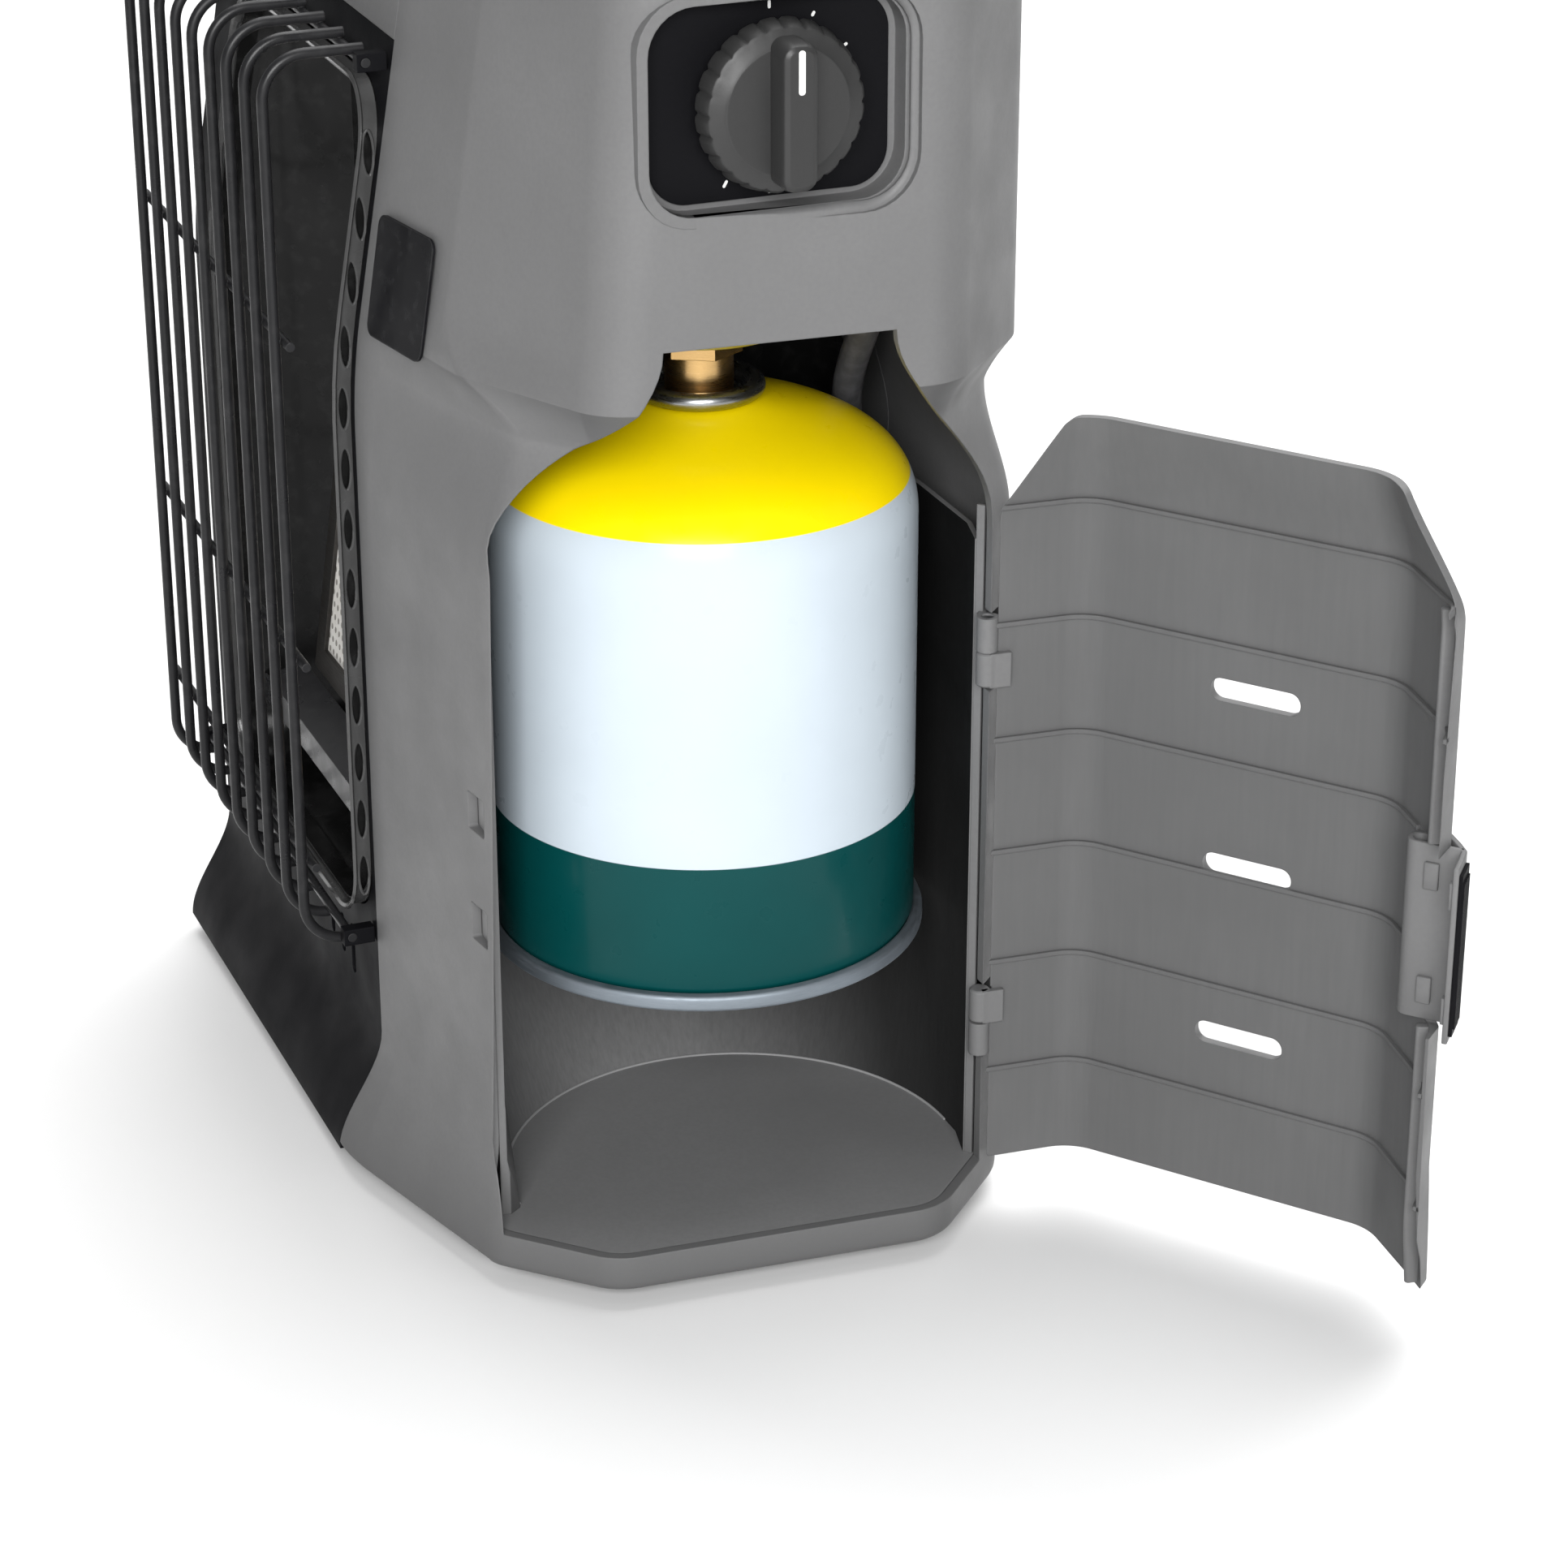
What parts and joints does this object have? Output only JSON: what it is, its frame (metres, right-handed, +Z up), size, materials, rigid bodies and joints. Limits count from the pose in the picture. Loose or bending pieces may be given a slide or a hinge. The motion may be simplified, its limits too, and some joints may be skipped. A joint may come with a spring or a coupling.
{
  "type": "portable gas heater",
  "caption": "Portable grey gas heater with an open side door over a screw-on gas cartridge, a wire guard over the burner and a folding carry handle.",
  "frame": {"origin": "centre of the footprint of the whole object, door open, on the floor it stands on", "axes": "+Z up; the burner faces -Y; the cartridge door is at the +X end"},
  "size_m": [0.3558, 0.2314, 0.3714],
  "materials": {
    "casing_grey": "fine grained, slightly satin",
    "casing_black": "matte",
    "gloss_black": "glossy",
    "knob_black": "satin",
    "foot_rubber": "matte",
    "seal_rubber": "matte",
    "tube_rubber": "satin",
    "zinc_steel": "brushed",
    "burner_steel": "heat dulled",
    "bright_steel": "bright, lightly used",
    "black_sheet": "gloss enamel",
    "guard_paint": "satin",
    "brass": "machined",
    "cartridge_paint": "glossy print on tinplate",
    "ceramic": "porous, matte"
  },
  "bodies": {
    "casing": {"near_shell": "casing_grey", "far_shell": "casing_grey", "top_cover": "casing_grey", "front_panel": "casing_black", "base_plate": "casing_black", "feet": "foot_rubber", "base_screws": "zinc_steel", "compartment_wall": "casing_grey", "compartment_floor": "casing_grey", "bulkhead": "black_sheet", "compartment_ceiling": "black_sheet", "hinge_sockets": "casing_grey", "badge_plate": "gloss_black", "brass_connector": "brass", "connector_seal": "seal_rubber", "regulator_body": "zinc_steel", "regulator_bracket": "zinc_steel", "link_tube": "brass", "control_valve": "brass", "dial_plate": "casing_black", "igniter_unit": "knob_black", "gas_tube": "tube_rubber", "injector_block": "zinc_steel", "injector_jet": "brass", "mixing_tube": "zinc_steel", "burner_plenum": "burner_steel", "burner_tile": "ceramic", "tile_frame": "burner_steel", "reflector_dish": "black_sheet", "lower_tray": "black_sheet", "pilot_bracket": "burner_steel", "spark_electrode": "ceramic", "thermocouple": "brass", "wire_guard": "guard_paint", "guard_clips": "casing_black", "rear_panel": "casing_grey", "rear_screws": "zinc_steel", "tilt_switch_case": "knob_black", "handle_sockets": "casing_grey"},
    "door": {"door": "casing_grey", "door_hinge_pins": "zinc_steel"},
    "latch": {"door_latch": "casing_grey", "latch_grip": "casing_black"},
    "cartridge": {"cartridge_body": "cartridge_paint", "cartridge_rim": "bright_steel", "cartridge_valve_ring": "bright_steel"},
    "push_shaft": {"valve_shaft": "zinc_steel"},
    "knob": {"control_knob": "knob_black"},
    "tilt_bob": {"tilt_weight": "zinc_steel"},
    "handle": {"handle_wire_bail": "bright_steel", "handle_grip": "knob_black"}
  },
  "joints": [
    {"name": "door_hinge", "type": "hinge", "parent": "casing", "child": "door", "pos_m": [0.0665, 0.03695, 0.107], "axis": [0, 0, 1], "range_deg": [-131, 0]},
    {"name": "latch_press", "type": "slide", "parent": "door", "child": "latch", "axis": [-0.6606, -0.7507, 0], "range_m": [0, 0.0015]},
    {"name": "cartridge_drop", "type": "slide", "parent": "casing", "child": "cartridge", "axis": [0, 0, 1], "range_m": [-0.01, 0]},
    {"name": "shaft_push", "type": "slide", "parent": "casing", "child": "push_shaft", "axis": [-1, 0, 0], "range_m": [0, 0.004], "stiffness_N_per_m": 1500},
    {"name": "knob_turn", "type": "hinge", "parent": "push_shaft", "child": "knob", "pos_m": [0.08065, -0.02431, 0.3055], "axis": [1, 0, 0], "range_deg": [0, 210]},
    {"name": "tilt_swing", "type": "hinge", "parent": "casing", "child": "tilt_bob", "pos_m": [-0.12785, 0.00869, 0.0454], "axis": [1, 0, 0], "range_deg": [-12, 12]},
    {"name": "handle_fold", "type": "hinge", "parent": "casing", "child": "handle", "pos_m": [-0.05285, -0.02131, 0.3619], "axis": [1, 0, 0], "range_deg": [0, 95]}
  ]
}
